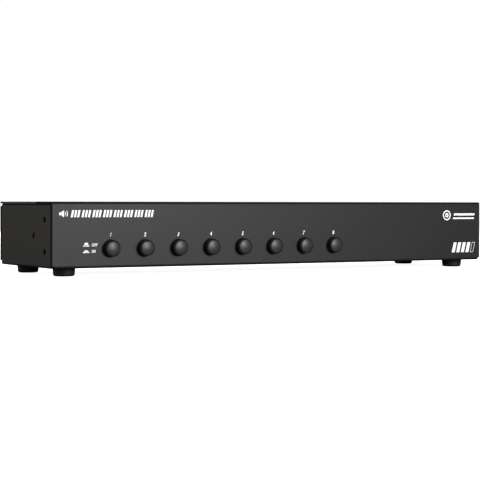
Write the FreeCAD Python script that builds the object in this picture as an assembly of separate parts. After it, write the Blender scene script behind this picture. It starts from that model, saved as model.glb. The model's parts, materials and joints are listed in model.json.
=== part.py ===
import FreeCAD, Part
import math
import os

# Eight-way loudspeaker selector in a low steel case, in millimetres.
# X runs along the front from left to right, Y from the front to the rear, Z up.
# The origin is on the floor under the middle of the whole unit.

# Least length of an edge, and how far a cutting tool runs past what it cuts
LEAST_EDGE = 1e-6
CUT_MARGIN = 1.0

# Case
CASE_W = 420.0
CASE_D = 108.0
CASE_H = 52.0
SHEET = 1.2
PANEL_T = 1.6
BEND_IN = 0.5
SEAM = 0.3
EDGE_ROUND = 0.4

# Flanges, measured from the outer face that each one is bent from
SIDE_FLANGE = 12.0
REAR_FLANGE = 12.0
TOP_FLANGE = 31.0
BOTTOM_FLANGE = 8.0
COVER_LIP = 10.0
RELIEF = 0.5

# Feet
FOOT_H = 6.5
FOOT_R = 9.0
FOOT_TAPER = 0.7
FOOT_ROUND = 1.8
FOOT_FROM_SIDE = 18.0
FOOT_FROM_FRONT = 18.0
FOOT_FROM_REAR = 16.5
FOOT_RECESS_R = 4.4
FOOT_RECESS_H = 3.2
FOOT_SCREW_R = 2.0
FOOT_SCREW_HEAD_R = 3.8
FOOT_SCREW_HEAD_H = 2.2
FOOT_SCREW_REACH = 3.0

# Push buttons and their travel
BUTTONS = 8
BUTTON_PITCH = 30.0
BUTTON_FROM_LEFT = 50.0
BUTTON_Z = 15.4
CAP_R = 6.6
CAP_PROUD = 5.8
CAP_DOME = 1.3
CAP_ROUND = 0.8
CAP_WALL = 1.3
CAP_DEPTH = 8.0
CAP_HOLE_CLEARANCE = 0.4
BOSS_R = 3.0
TRAVEL = 3.5

# Latching push switches
STEM = 3.2
STEM_IN_CAP = 9.0
STEM_FIT = 0.05
STEM_CLEARANCE = 0.15
COLLAR_R = 3.9
COLLAR_T = 1.2
SPRING_SPACE = 7.8
SPRING_WIRE = 0.5
SPRING_R = 2.95
SPRING_TURNS = 6
SPRING_SEAT = 0.05
SWITCH_W = 13.0
SWITCH_H = 10.0
SWITCH_WALL = 1.4
SLIDER_CLEARANCE = 0.3
SLIDER_D = 13.0
STEM_IN_SLIDER = 1.0
CONTACT_PITCH = 5.0
CONTACT_ROW = 6.0
CONTACT_W = 0.8
CONTACT_T = 0.4
CONTACT_FIT = 0.05

# Circuit board and its fixings
BOARD_T = 1.6
BOARD_FROM_SIDE = 14.0
BOARD_FROM_FRONT = 14.0
BOARD_FROM_REAR = 4.0
STANDOFF_AF = 5.5
STANDOFF_BORE_R = 1.55
STANDOFF_FROM_EDGE = 5.0
STANDOFF_FROM_SIDE = 30.0
PIN_BELOW_BOARD = 2.0

# Screw terminals at the rear
TERMINALS = 9
TERMINAL_FROM_SIDE = 34.0
TERMINAL_WAYS = 4
WAY_PITCH = 7.62
TERMINAL_SIDE = 1.2
TERMINAL_H = 15.0
TERMINAL_INSIDE = 14.0
TERMINAL_PROUD = 12.0
CUTOUT_CLEARANCE = 0.4
CAGE_W = 5.4
CAGE_H = 6.4
CAGE_D = 6.0
CAGE_Z = 5.6
CAGE_SET_BACK = 0.8
CAGE_FIT = 0.1
WIRE_HOLE = 3.4
CAGE_FLOOR = 0.9
CLAMP_SCREW_R = 1.5
CLAMP_HEAD_R = 1.95
CLAMP_HEAD_H = 1.8
CLAMP_WELL_CLEARANCE = 0.2
CLAMP_THREAD_FIT = 0.05
CAGE_PIN = 1.0

# Protection resistors
RESISTORS = (("left", -1), ("right", 1))
RESISTOR_L = 48.0
RESISTOR_W = 9.5
RESISTOR_H = 9.0
RESISTOR_FROM_SIDE = 100.0
RESISTOR_FROM_FRONT = 62.0
LEAD_R = 0.4
LEAD_RUN = 4.0
LEAD_FIT = 0.1

# Screws that close the case
SCREW_R = 1.5
SCREW_HEAD_R = 2.75
SCREW_LENGTH = 6.0
SCREW_FIT = 0.05
DRIVE_W = 0.8
DRIVE_DEPTH = 0.8
DRIVE_SHARE = 0.6
SCREW_FROM_SIDE = 7.0
PANEL_SCREW_FROM_FRONT = 4.8
FLANGE_SCREW_FROM_FRONT = 20.0
COVER_SCREW_FROM_FRONT = 52.0
COVER_SCREW_FROM_REAR = 16.0
LIP_SCREW_FROM_SIDE = 105.0
REAR_SCREW_FROM_REAR = 6.0
REAR_SCREW_FROM_EDGE = 13.0
BOARD_SCREW_HEAD_R = 2.75
BOARD_SCREW_HEAD_H = 2.0
BOARD_SCREW_REACH = 4.0

# Threaded holes for rack ears: distance behind the front, height over the case's underside
EAR_HOLES = ((14.0, 12.8), (36.0, 25.3), (14.0, 37.8))
EAR_HOLE_R = 2.5
EAR_NUT_R = 4.5
EAR_NUT_T = 3.0

# Planes that the pieces share
HALF_W = CASE_W / 2
FRONT_Y = -(CASE_D + TERMINAL_PROUD - CAP_PROUD) / 2
REAR_Y = FRONT_Y + CASE_D
BASE_Z = FOOT_H
TOP_Z = BASE_Z + CASE_H
LEDGE_Z = TOP_Z - PANEL_T
SHEET_BEND = BEND_IN + SHEET
PANEL_BEND = BEND_IN + PANEL_T
PANEL_BACK = FRONT_Y + PANEL_T
WALL_FRONT = PANEL_BACK + BEND_IN
WALL_REAR = REAR_Y - PANEL_T
NOTCH_REAR = FRONT_Y + BOTTOM_FLANGE + SEAM
FOLD_HALF = HALF_W - SHEET_BEND - SEAM
COVER_FRONT = FRONT_Y + TOP_FLANGE + SEAM
AXIS_Z = BASE_Z + BUTTON_Z
BOARD_TOP = AXIS_Z - SWITCH_H / 2
BOARD_Z = BOARD_TOP - BOARD_T
BOARD_HALF = HALF_W - BOARD_FROM_SIDE
BOARD_FRONT = FRONT_Y + BOARD_FROM_FRONT
BOARD_REAR = REAR_Y - BOARD_FROM_REAR
CAP_BACK = FRONT_Y + CAP_DEPTH
COLLAR_BACK = CAP_BACK + COLLAR_T
SWITCH_FRONT = COLLAR_BACK + SPRING_SPACE
SWITCH_D = SLIDER_D + TRAVEL + 2 * (SWITCH_WALL + SLIDER_CLEARANCE)
SLIDER_FRONT = SWITCH_FRONT + SWITCH_WALL + SLIDER_CLEARANCE
TERMINAL_W = TERMINAL_WAYS * WAY_PITCH + 2 * TERMINAL_SIDE
TERMINAL_FRONT = REAR_Y - TERMINAL_INSIDE
TERMINAL_REAR = REAR_Y + TERMINAL_PROUD
CAGE_REAR = TERMINAL_REAR - CAGE_SET_BACK
CAGE_MIDDLE = CAGE_REAR - CAGE_D / 2
WIRE_Z = BOARD_TOP + CAGE_Z

button_xs = [-HALF_W + BUTTON_FROM_LEFT + i * BUTTON_PITCH for i in range(BUTTONS)]
terminal_pitch = (CASE_W - 2 * TERMINAL_FROM_SIDE) / (TERMINALS - 1)
terminal_xs = [-HALF_W + TERMINAL_FROM_SIDE + i * terminal_pitch for i in range(TERMINALS)]
way_offsets = [(i - (TERMINAL_WAYS - 1) / 2) * WAY_PITCH for i in range(TERMINAL_WAYS)]


def vec(x, y, z):
    return FreeCAD.Vector(x, y, z)


def box(x0, x1, y0, y1, z0, z1):
    return Part.makeBox(x1 - x0, y1 - y0, z1 - z0, vec(x0, y0, z0))


def rod(start, direction, radius, length):
    return Part.makeCylinder(radius, length, start, direction)


def cone(start, direction, radius_0, radius_1, length):
    return Part.makeCone(radius_0, radius_1, length, start, direction)


def fuse(shapes):
    return shapes[0].multiFuse(shapes[1:]).removeSplitter()


def cut(shape, tools):
    return shape.cut(Part.makeCompound(tools)) if tools else shape


def save(name, shape):
    shape.exportStep("parts/" + name + ".step")


def rounded_face(corners, place):
    """Face inside the outline through (u, v, radius) corners, each rounded by its radius."""
    edges = []
    first = last = None

    def join(start, end):
        if start.distanceToPoint(end) > LEAST_EDGE:
            edges.append(Part.makeLine(place(start), place(end)))

    for i, (u, v, radius) in enumerate(corners):
        here = vec(u, v, 0)
        back = vec(*corners[i - 1][:2], 0) - here
        ahead = vec(*corners[(i + 1) % len(corners)][:2], 0) - here
        back.normalize()
        ahead.normalize()
        start = end = here
        if radius > 0:
            half = back.getAngle(ahead) / 2
            reach = radius / math.tan(half)
            start = here + back * reach
            end = here + ahead * reach
            middle = (back + ahead).normalize() * (radius / math.sin(half) - radius) + here
        if last is None:
            first = start
        else:
            join(last, start)
        if radius > 0:
            edges.append(Part.Arc(place(start), place(middle), place(end)).toShape())
        last = end
    join(last, first)
    return Part.Face(Part.Wire(edges))


def along_y(corners, y0, y1):
    face = rounded_face(corners, lambda p: vec(p.x, y0, p.y))
    return face.extrude(vec(0, y1 - y0, 0))


def along_x(corners, x0, x1):
    face = rounded_face(corners, lambda p: vec(x0, p.x, p.y))
    return face.extrude(vec(x1 - x0, 0, 0))


def along_z(corners, z0, z1):
    face = rounded_face(corners, lambda p: vec(p.x, p.y, z0))
    return face.extrude(vec(0, 0, z1 - z0))


# Screws and the holes that take them

def screw_places():
    """Head centre and direction of each countersunk screw of the case."""
    side_x = HALF_W - SCREW_FROM_SIDE
    down = vec(0, 0, -1)
    up = vec(0, 0, 1)
    places = []
    for x in (-side_x, side_x):
        for y in (FRONT_Y + FLANGE_SCREW_FROM_FRONT, FRONT_Y + COVER_SCREW_FROM_FRONT,
                  REAR_Y - COVER_SCREW_FROM_REAR):
            places.append((vec(x, y, TOP_Z), down))
        for z in (BASE_Z + REAR_SCREW_FROM_EDGE, TOP_Z - REAR_SCREW_FROM_EDGE):
            places.append((vec(x, REAR_Y, z), vec(0, -1, 0)))
    lip_x = HALF_W - LIP_SCREW_FROM_SIDE
    for x in (-lip_x, lip_x):
        places.append((vec(x, FRONT_Y + TOP_FLANGE + COVER_LIP / 2, TOP_Z), down))
        places.append((vec(x, REAR_Y - REAR_SCREW_FROM_REAR, TOP_Z), down))
        places.append((vec(x, FRONT_Y + PANEL_SCREW_FROM_FRONT, BASE_Z), up))
    return places


def drive_recess(head, direction, head_r):
    """Cross recess in a screw head whose centre is at head."""
    size = 2 * head_r * DRIVE_SHARE
    side = vec(1, 0, 0)
    other = direction.cross(side)
    arms = []
    for long_way, short_way in ((side, other), (other, side)):
        corner = head - long_way * (size / 2) - short_way * (DRIVE_W / 2)
        points = [corner, corner + long_way * size,
                  corner + long_way * size + short_way * DRIVE_W, corner + short_way * DRIVE_W]
        face = Part.Face(Part.makePolygon(points + [points[0]]))
        arms.append(face.extrude(direction * DRIVE_DEPTH))
    return arms[0].fuse(arms[1])


def countersunk_screw(head, direction):
    head_h = SCREW_HEAD_R - SCREW_R
    solid = fuse([cone(head, direction, SCREW_HEAD_R, SCREW_R, head_h),
                  rod(head, direction, SCREW_R, SCREW_LENGTH)])
    return solid.cut(drive_recess(head, direction, SCREW_HEAD_R))


def screw_hole(head, direction):
    """Countersink and clearance hole as deep as the screw is long."""
    head_h = SCREW_HEAD_R - SCREW_R
    sink = cone(head, direction, SCREW_HEAD_R + SCREW_FIT, SCREW_R + SCREW_FIT, head_h)
    return sink.fuse(rod(head, direction, SCREW_R + SCREW_FIT, SCREW_LENGTH))


screw_holes = [screw_hole(*place) for place in screw_places()]


# Case

def foot_places():
    """Name and centre of each foot."""
    rows = (("front", FRONT_Y + FOOT_FROM_FRONT), ("rear", REAR_Y - FOOT_FROM_REAR))
    sides = (("left", FOOT_FROM_SIDE - HALF_W), ("right", HALF_W - FOOT_FROM_SIDE))
    return [("foot_" + row + "_" + side, x, y) for row, y in rows for side, x in sides]


def standoff_places():
    """Corners of the board, and two columns that clear the switches."""
    outer = HALF_W - STANDOFF_FROM_SIDE
    middle = button_xs[BUTTONS // 2] - BUTTON_PITCH / 2
    columns = (-outer, middle, button_xs[-1] + BUTTON_PITCH, outer)
    rows = (BOARD_FRONT + STANDOFF_FROM_EDGE, TERMINAL_FRONT - STANDOFF_FROM_EDGE)
    return [(x, y) for x in columns for y in rows]


def make_chassis():
    """Floor, side walls and inward flanges, folded from one sheet."""
    inner = HALF_W - SHEET
    tip = HALF_W - SIDE_FLANGE
    section = [
        (-HALF_W, BASE_Z, SHEET_BEND), (HALF_W, BASE_Z, SHEET_BEND),
        (HALF_W, LEDGE_Z, SHEET_BEND), (tip, LEDGE_Z, 0),
        (tip, LEDGE_Z - SHEET, 0), (inner, LEDGE_Z - SHEET, BEND_IN),
        (inner, BASE_Z + SHEET, BEND_IN), (-inner, BASE_Z + SHEET, BEND_IN),
        (-inner, LEDGE_Z - SHEET, BEND_IN), (-tip, LEDGE_Z - SHEET, 0),
        (-tip, LEDGE_Z, 0), (-HALF_W, LEDGE_Z, SHEET_BEND),
    ]
    body = along_y(section, WALL_FRONT, WALL_REAR - SHEET_BEND)
    body = body.cut(box(-FOLD_HALF - SEAM, FOLD_HALF + SEAM, WALL_FRONT, NOTCH_REAR,
                        BASE_Z, BASE_Z + SHEET))
    flap_z = BASE_Z + PANEL_T
    pieces = [
        body,
        box(-FOLD_HALF, FOLD_HALF, NOTCH_REAR, NOTCH_REAR + SHEET, BASE_Z, flap_z + SHEET),
        box(-FOLD_HALF, FOLD_HALF, WALL_FRONT, NOTCH_REAR + SHEET, flap_z, flap_z + SHEET),
        box(-FOLD_HALF, FOLD_HALF, WALL_REAR - SHEET_BEND, REAR_Y, BASE_Z, BASE_Z + SHEET),
    ]
    for side in (-1, 1):
        corner = [
            (side * HALF_W, WALL_REAR - SHEET_BEND, 0), (side * HALF_W, WALL_REAR, SHEET_BEND),
            (side * (HALF_W - REAR_FLANGE), WALL_REAR, 0),
            (side * (HALF_W - REAR_FLANGE), WALL_REAR - SHEET, 0),
            (side * inner, WALL_REAR - SHEET, BEND_IN),
            (side * inner, WALL_REAR - SHEET_BEND, 0),
        ]
        pieces.append(along_z(corner, BASE_Z + SHEET_BEND + RELIEF,
                              LEDGE_Z - SHEET_BEND - RELIEF))
    tools = list(screw_holes)
    for side in (-1, 1):
        for behind, above in EAR_HOLES:
            start = vec(side * (inner - BEND_IN), FRONT_Y + behind, BASE_Z + above)
            tools.append(rod(start, vec(side, 0, 0), EAR_HOLE_R, SHEET + 2 * BEND_IN))
    for name, x, y in foot_places():
        tools.append(rod(vec(x, y, BASE_Z), vec(0, 0, 1), FOOT_SCREW_R + SCREW_FIT, SHEET))
    return cut(fuse(pieces), tools)


def make_front_panel():
    """Face with its button holes, a deep top flange with a stepped lip, and a short bottom one."""
    top_rear = FRONT_Y + TOP_FLANGE
    bottom_rear = FRONT_Y + BOTTOM_FLANGE
    fold_z = BASE_Z + PANEL_BEND
    top_section = [
        (FRONT_Y, fold_z, 0), (FRONT_Y, TOP_Z, PANEL_BEND),
        (top_rear, TOP_Z, 0), (top_rear, LEDGE_Z, 0),
        (PANEL_BACK, LEDGE_Z, BEND_IN), (PANEL_BACK, fold_z, 0),
    ]
    bottom_section = [
        (FRONT_Y, BASE_Z, PANEL_BEND), (FRONT_Y, fold_z, 0), (PANEL_BACK, fold_z, 0),
        (PANEL_BACK, BASE_Z + PANEL_T, BEND_IN),
        (bottom_rear, BASE_Z + PANEL_T, 0), (bottom_rear, BASE_Z, 0),
    ]
    plan = [
        (-HALF_W, FRONT_Y, EDGE_ROUND), (HALF_W, FRONT_Y, EDGE_ROUND),
        (HALF_W, top_rear, 0), (-HALF_W, top_rear, 0),
    ]
    lip_half = HALF_W - SIDE_FLANGE - SEAM
    pieces = [
        along_x(top_section, -HALF_W, HALF_W).common(along_z(plan, BASE_Z, TOP_Z)),
        along_x(bottom_section, -FOLD_HALF, FOLD_HALF),
        box(-lip_half, lip_half, top_rear - PANEL_T, top_rear + COVER_LIP,
            LEDGE_Z - PANEL_T, LEDGE_Z),
    ]
    tools = list(screw_holes)
    for x in button_xs:
        tools.append(rod(vec(x, FRONT_Y - CUT_MARGIN, AXIS_Z), vec(0, 1, 0),
                         CAP_R + CAP_HOLE_CLEARANCE, PANEL_T + 2 * CUT_MARGIN))
    return cut(fuse(pieces), tools)


def make_top_cover():
    """Flat plate whose long side edges are eased."""
    section = [
        (-HALF_W, LEDGE_Z, 0), (HALF_W, LEDGE_Z, 0),
        (HALF_W, TOP_Z, EDGE_ROUND), (-HALF_W, TOP_Z, EDGE_ROUND),
    ]
    return cut(along_y(section, COVER_FRONT, REAR_Y), screw_holes)


def make_rear_panel():
    """Face with a cut-out for each terminal block, standing on the floor and carrying the cover."""
    face_back = REAR_Y - PANEL_T
    foot_z = BASE_Z + SHEET
    section = [
        (REAR_Y, foot_z, PANEL_BEND), (REAR_Y, LEDGE_Z, PANEL_BEND),
        (REAR_Y - REAR_FLANGE, LEDGE_Z, 0), (REAR_Y - REAR_FLANGE, LEDGE_Z - PANEL_T, 0),
        (face_back, LEDGE_Z - PANEL_T, BEND_IN), (face_back, foot_z + PANEL_T, BEND_IN),
        (REAR_Y - BOTTOM_FLANGE, foot_z + PANEL_T, 0), (REAR_Y - BOTTOM_FLANGE, foot_z, 0),
    ]
    fold_half = HALF_W - SIDE_FLANGE - SEAM
    pieces = [
        along_x(section, -fold_half, fold_half),
        box(-HALF_W, HALF_W, face_back, REAR_Y, foot_z + PANEL_BEND, LEDGE_Z - PANEL_BEND),
    ]
    reach = TERMINAL_W / 2 + CUTOUT_CLEARANCE
    tools = list(screw_holes)
    for x in terminal_xs:
        tools.append(box(x - reach, x + reach, face_back - CUT_MARGIN, REAR_Y + CUT_MARGIN,
                         BOARD_TOP - CUTOUT_CLEARANCE, BOARD_TOP + TERMINAL_H + CUTOUT_CLEARANCE))
    return cut(fuse(pieces), tools)


def make_foot(x, y):
    """Tapered foot with a recess for its screw's head."""
    up = vec(0, 0, 1)
    solid = cone(vec(x, y, 0), up, FOOT_R - FOOT_TAPER, FOOT_R, FOOT_H)
    rim = [edge for edge in solid.Edges if edge.BoundBox.ZMax < FOOT_ROUND]
    solid = solid.makeFillet(FOOT_ROUND, rim)
    return cut(solid, [rod(vec(x, y, 0), up, FOOT_RECESS_R, FOOT_RECESS_H),
                       rod(vec(x, y, 0), up, FOOT_SCREW_R + SCREW_FIT, FOOT_H)])


def make_foot_screw(x, y):
    up = vec(0, 0, 1)
    head = vec(x, y, FOOT_RECESS_H - FOOT_SCREW_HEAD_H)
    length = FOOT_SCREW_HEAD_H + FOOT_H - FOOT_RECESS_H + SHEET + FOOT_SCREW_REACH
    solid = fuse([rod(head, up, FOOT_SCREW_HEAD_R, FOOT_SCREW_HEAD_H),
                  rod(head, up, FOOT_SCREW_R, length)])
    return solid.cut(drive_recess(head, up, FOOT_SCREW_HEAD_R))


def make_ear_nut(side, behind, above):
    """Round clinch nut against the inner face of a side wall."""
    start = vec(side * (HALF_W - SHEET - EAR_NUT_T), FRONT_Y + behind, BASE_Z + above)
    out = vec(side, 0, 0)
    return rod(start, out, EAR_NUT_R, EAR_NUT_T).cut(rod(start, out, EAR_HOLE_R, EAR_NUT_T))


# Board

def contact_places():
    """Centre of each switch contact, on the board."""
    middle_y = SWITCH_FRONT + SWITCH_D / 2
    return [(x + column * CONTACT_ROW / 2, middle_y + row * CONTACT_PITCH)
            for x in button_xs for column in (-1, 1) for row in (-1, 0, 1)]


def cage_places():
    return [x + offset for x in terminal_xs for offset in way_offsets]


def lead_places():
    reach = RESISTOR_L / 2 + LEAD_RUN
    y = FRONT_Y + RESISTOR_FROM_FRONT
    return [(side * (HALF_W - RESISTOR_FROM_SIDE) + end * reach, y)
            for name, side in RESISTORS for end in (-1, 1)]


def make_board():
    up = vec(0, 0, 1)
    solid = box(-BOARD_HALF, BOARD_HALF, BOARD_FRONT, BOARD_REAR, BOARD_Z, BOARD_TOP)
    tools = []
    for x, y in standoff_places():
        tools.append(rod(vec(x, y, BOARD_Z), up, STANDOFF_BORE_R, BOARD_T))
    half_w = CONTACT_W / 2 + CONTACT_FIT
    half_t = CONTACT_T / 2 + CONTACT_FIT
    for x, y in contact_places():
        tools.append(box(x - half_t, x + half_t, y - half_w, y + half_w, BOARD_Z, BOARD_TOP))
    half_pin = CAGE_PIN / 2 + CAGE_FIT
    pin_y = TERMINAL_FRONT + CAGE_D / 2
    for x in cage_places():
        tools.append(box(x - half_pin, x + half_pin, pin_y - half_pin, pin_y + half_pin,
                         BOARD_Z, BOARD_TOP))
    for x, y in lead_places():
        tools.append(rod(vec(x, y, BOARD_Z), up, LEAD_R + LEAD_FIT, BOARD_T))
    return cut(solid, tools)


def make_standoff(x, y):
    """Hexagonal spacer between the floor and the board."""
    radius = STANDOFF_AF / math.sqrt(3)
    base = BASE_Z + SHEET
    angles = [math.radians(60 * i) for i in range(7)]
    points = [vec(x + radius * math.cos(a), y + radius * math.sin(a), base) for a in angles]
    height = BOARD_Z - base
    solid = Part.Face(Part.makePolygon(points)).extrude(vec(0, 0, height))
    return solid.cut(rod(vec(x, y, base), vec(0, 0, 1), STANDOFF_BORE_R, height))


def make_board_screw(x, y):
    down = vec(0, 0, -1)
    head = vec(x, y, BOARD_TOP + BOARD_SCREW_HEAD_H)
    length = BOARD_SCREW_HEAD_H + BOARD_T + BOARD_SCREW_REACH
    solid = fuse([rod(head, down, BOARD_SCREW_HEAD_R, BOARD_SCREW_HEAD_H),
                  rod(head, down, SCREW_R, length)])
    return solid.cut(drive_recess(head, down, BOARD_SCREW_HEAD_R))


def make_resistor(side):
    """Ceramic block with a lead bent down from each end."""
    x = side * (HALF_W - RESISTOR_FROM_SIDE)
    y = FRONT_Y + RESISTOR_FROM_FRONT
    middle_z = BOARD_TOP + RESISTOR_H / 2
    reach = RESISTOR_L / 2 + LEAD_RUN
    pieces = [box(x - RESISTOR_L / 2, x + RESISTOR_L / 2, y - RESISTOR_W / 2,
                  y + RESISTOR_W / 2, BOARD_TOP, BOARD_TOP + RESISTOR_H)]
    pieces.append(rod(vec(x - reach, y, middle_z), vec(1, 0, 0), LEAD_R, 2 * reach))
    drop = middle_z - BOARD_Z + PIN_BELOW_BOARD
    for end in (-1, 1):
        knee = vec(x + end * reach, y, middle_z)
        pieces.append(Part.makeSphere(LEAD_R, knee))
        pieces.append(rod(knee, vec(0, 0, -1), LEAD_R, drop))
    return fuse(pieces)


# Buttons and switches

def make_cap(x):
    """Domed cap, hollow behind, with a boss that grips the switch's stem."""
    tip_y = FRONT_Y - CAP_PROUD
    dome_r = (CAP_R ** 2 + CAP_DOME ** 2) / (2 * CAP_DOME)
    dome_y = tip_y + dome_r
    round_r = CAP_R - CAP_ROUND
    round_y = dome_y - math.sqrt((dome_r - CAP_ROUND) ** 2 - round_r ** 2)
    lean = math.atan2(round_r, dome_y - round_y)
    floor_y = tip_y + CAP_DOME + 2 * CAP_WALL

    def on_arc(radius, centre_r, centre_y, angle):
        return vec(x + centre_r + radius * math.sin(angle),
                   centre_y - radius * math.cos(angle), AXIS_Z)

    tip = on_arc(dome_r, 0, dome_y, 0)
    dome_end = on_arc(dome_r, 0, dome_y, lean)
    shoulder = on_arc(CAP_ROUND, round_r, round_y, math.pi / 2)
    corners = [shoulder] + [vec(x + r, y, AXIS_Z) for r, y in (
        (CAP_R, CAP_BACK), (CAP_R - CAP_WALL, CAP_BACK), (CAP_R - CAP_WALL, floor_y),
        (BOSS_R, floor_y), (BOSS_R, CAP_BACK), (0, CAP_BACK))] + [tip]
    edges = [
        Part.Arc(tip, on_arc(dome_r, 0, dome_y, lean / 2), dome_end).toShape(),
        Part.Arc(dome_end, on_arc(CAP_ROUND, round_r, round_y, (lean + math.pi / 2) / 2),
                 shoulder).toShape(),
    ]
    edges += [Part.makeLine(a, b) for a, b in zip(corners, corners[1:])]
    solid = Part.Face(Part.Wire(edges)).revolve(vec(x, 0, AXIS_Z), vec(0, 1, 0), 360)
    half = STEM / 2 + STEM_FIT
    socket_y = CAP_BACK - STEM_IN_CAP - STEM_FIT
    return solid.cut(box(x - half, x + half, socket_y, CAP_BACK, AXIS_Z - half, AXIS_Z + half))


def make_plunger(x):
    """Square stem, the collar that the spring presses on, and the slider inside the switch."""
    half = STEM / 2
    slider_half_w = SWITCH_W / 2 - SWITCH_WALL - SLIDER_CLEARANCE
    slider_half_h = SWITCH_H / 2 - SWITCH_WALL - SLIDER_CLEARANCE
    return fuse([
        box(x - half, x + half, CAP_BACK - STEM_IN_CAP, SLIDER_FRONT + STEM_IN_SLIDER,
            AXIS_Z - half, AXIS_Z + half),
        rod(vec(x, CAP_BACK, AXIS_Z), vec(0, 1, 0), COLLAR_R, COLLAR_T),
        box(x - slider_half_w, x + slider_half_w, SLIDER_FRONT, SLIDER_FRONT + SLIDER_D,
            AXIS_Z - slider_half_h, AXIS_Z + slider_half_h),
    ])


def make_switch_body(x):
    """Housing with a cavity for the slider and a slot in its floor for each contact."""
    half_w = SWITCH_W / 2
    half_h = SWITCH_H / 2
    rear = SWITCH_FRONT + SWITCH_D
    solid = box(x - half_w, x + half_w, SWITCH_FRONT, rear, AXIS_Z - half_h, AXIS_Z + half_h)
    inner_w = half_w - SWITCH_WALL
    inner_h = half_h - SWITCH_WALL
    hole = STEM / 2 + STEM_CLEARANCE
    tools = [
        box(x - inner_w, x + inner_w, SWITCH_FRONT + SWITCH_WALL, rear - SWITCH_WALL,
            AXIS_Z - inner_h, AXIS_Z + inner_h),
        box(x - hole, x + hole, SWITCH_FRONT, SWITCH_FRONT + SWITCH_WALL,
            AXIS_Z - hole, AXIS_Z + hole),
    ]
    slot_w = CONTACT_W / 2 + CONTACT_FIT
    slot_t = CONTACT_T / 2 + CONTACT_FIT
    for contact_x, y in contact_places():
        if abs(contact_x - x) < half_w:
            tools.append(box(contact_x - slot_t, contact_x + slot_t, y - slot_w, y + slot_w,
                             BOARD_TOP, BOARD_TOP + SWITCH_WALL))
    return cut(solid, tools)


def make_contact(x, y):
    """Flat pin from just inside the switch, through its floor and the board."""
    return box(x - CONTACT_T / 2, x + CONTACT_T / 2, y - CONTACT_W / 2, y + CONTACT_W / 2,
               BOARD_Z - PIN_BELOW_BOARD, BOARD_TOP + SWITCH_WALL)


def biarc(p0, t0, p1, t1):
    """Two tangent arcs from p0 along t0 to p1 along t1."""
    chord = p1 - p0
    turn = t0 + t1
    a = turn.dot(turn) - 4
    b = -2 * chord.dot(turn)
    c = chord.dot(chord)
    leg = (-b - math.sqrt(b * b - 4 * a * c)) / (2 * a)
    q0 = p0 + t0 * leg
    q1 = p1 - t1 * leg
    joint = (q0 + q1) * 0.5
    arcs = []
    for start, knee, end in ((p0, q0, joint), (joint, q1, p1)):
        back = (start - knee).normalize()
        ahead = (end - knee).normalize()
        half = back.getAngle(ahead) / 2
        radius = leg * math.tan(half)
        inward = (back + ahead).normalize()
        middle = knee + inward * (leg / math.cos(half) - radius)
        arcs.append(Part.Arc(start, middle, end).toShape())
    return arcs


def helix_point(x, start_y, pitch, angle):
    """Point and direction at an angle along a spring's centre line."""
    y = start_y + pitch * angle / (2 * math.pi)
    point = vec(x + SPRING_R * math.cos(angle), y, AXIS_Z + SPRING_R * math.sin(angle))
    slope = pitch / (2 * math.pi)
    tangent = vec(-SPRING_R * math.sin(angle), slope, SPRING_R * math.cos(angle)).normalize()
    return point, tangent


def spring_pitch():
    return (SPRING_SPACE - 2 * SPRING_SEAT - SPRING_WIRE) / SPRING_TURNS


def make_spring(x):
    """Compression spring between the collar and the switch, one wire all the way."""
    start_y = COLLAR_BACK + SPRING_SEAT + SPRING_WIRE / 2
    quarter = math.pi / 2
    arcs = []
    for i in range(4 * SPRING_TURNS):
        p0, t0 = helix_point(x, start_y, spring_pitch(), i * quarter)
        p1, t1 = helix_point(x, start_y, spring_pitch(), (i + 1) * quarter)
        arcs += biarc(p0, t0, p1, t1)
    point, tangent = helix_point(x, start_y, spring_pitch(), 0)
    wire = Part.Wire(Part.makeCircle(SPRING_WIRE / 2, point, tangent))
    return Part.Wire(arcs).makePipeShell([wire], True, False)


def spring_gap():
    """Least gap between a spring's neighbouring turns, measured on points of its centre line."""
    steps = 72
    points = [helix_point(0, 0, spring_pitch(), 2 * math.pi * i / steps)[0]
              for i in range(2 * steps + 1)]
    near = [points[0].distanceToPoint(p) for p in points[steps // 2:]]
    return min(near) - SPRING_WIRE


# Terminals

def make_terminal(x):
    """Moulded block on the board, with a pocket and a screw well for each way."""
    half = TERMINAL_W / 2
    top = BOARD_TOP + TERMINAL_H
    solid = along_z([(x - half, TERMINAL_FRONT, 0), (x + half, TERMINAL_FRONT, 0),
                     (x + half, TERMINAL_REAR, EDGE_ROUND), (x - half, TERMINAL_REAR, EDGE_ROUND)],
                    BOARD_TOP, top)
    tools = []
    half_w = CAGE_W / 2 + CAGE_FIT
    pin = CAGE_PIN / 2 + CAGE_FIT
    low = WIRE_Z - CAGE_H / 2 - CAGE_FIT
    high = WIRE_Z + CAGE_H / 2 + CAGE_FIT
    pin_y = TERMINAL_FRONT + CAGE_D / 2
    for offset in way_offsets:
        way_x = x + offset
        tools.append(box(way_x - half_w, way_x + half_w, CAGE_REAR - CAGE_D - CAGE_FIT,
                         TERMINAL_REAR, low, high))
        tools.append(box(way_x - pin, way_x + pin, pin_y - pin, CAGE_REAR - CAGE_D,
                         low, low + CAGE_PIN + 2 * CAGE_FIT))
        tools.append(box(way_x - pin, way_x + pin, pin_y - pin, pin_y + pin,
                         BOARD_TOP, low + CAGE_FIT))
        tools.append(rod(vec(way_x, CAGE_MIDDLE, high), vec(0, 0, 1),
                         CLAMP_HEAD_R + CLAMP_WELL_CLEARANCE, top - high))
    return cut(solid, tools)


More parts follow.
